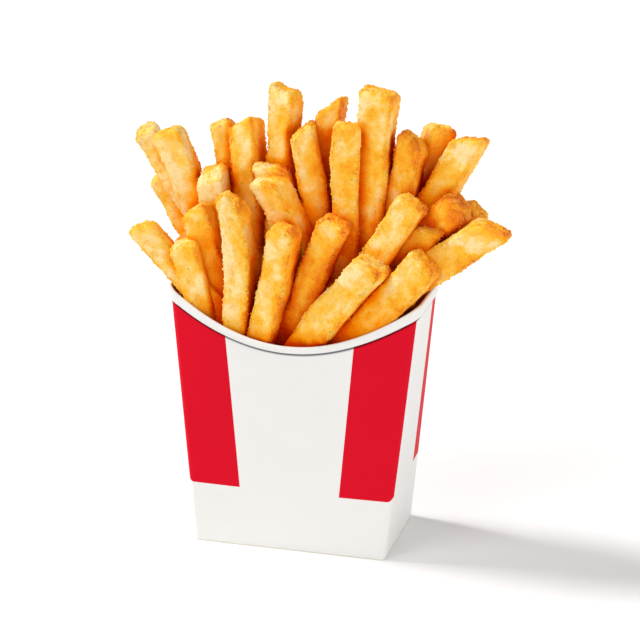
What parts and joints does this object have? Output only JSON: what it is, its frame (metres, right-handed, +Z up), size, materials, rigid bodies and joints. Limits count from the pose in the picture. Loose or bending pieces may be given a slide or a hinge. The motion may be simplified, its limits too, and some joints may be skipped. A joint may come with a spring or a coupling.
{
  "type": "french fries in a carton",
  "caption": "Flared paperboard scoop carton with upright red stripes, standing on its flat base and heaped with thick-cut french fries that fan out above its arched top edge.",
  "frame": {"origin": "middle of the carton's flat base, where it meets the table", "axes": "+Z up, +X along the broad front panel, and the front panel faces -Y"},
  "size_m": [0.1525, 0.0538, 0.1757],
  "materials": {
    "printed_board": "white coated paperboard with red upright stripes, satin, raised white band along the top edge",
    "fried_potato": "golden fried potato with a fine crisp crust, browner along its edges and ends"
  },
  "bodies": {
    "root": {"carton": "printed_board", "fries": "fried_potato"}
  },
  "joints": []
}
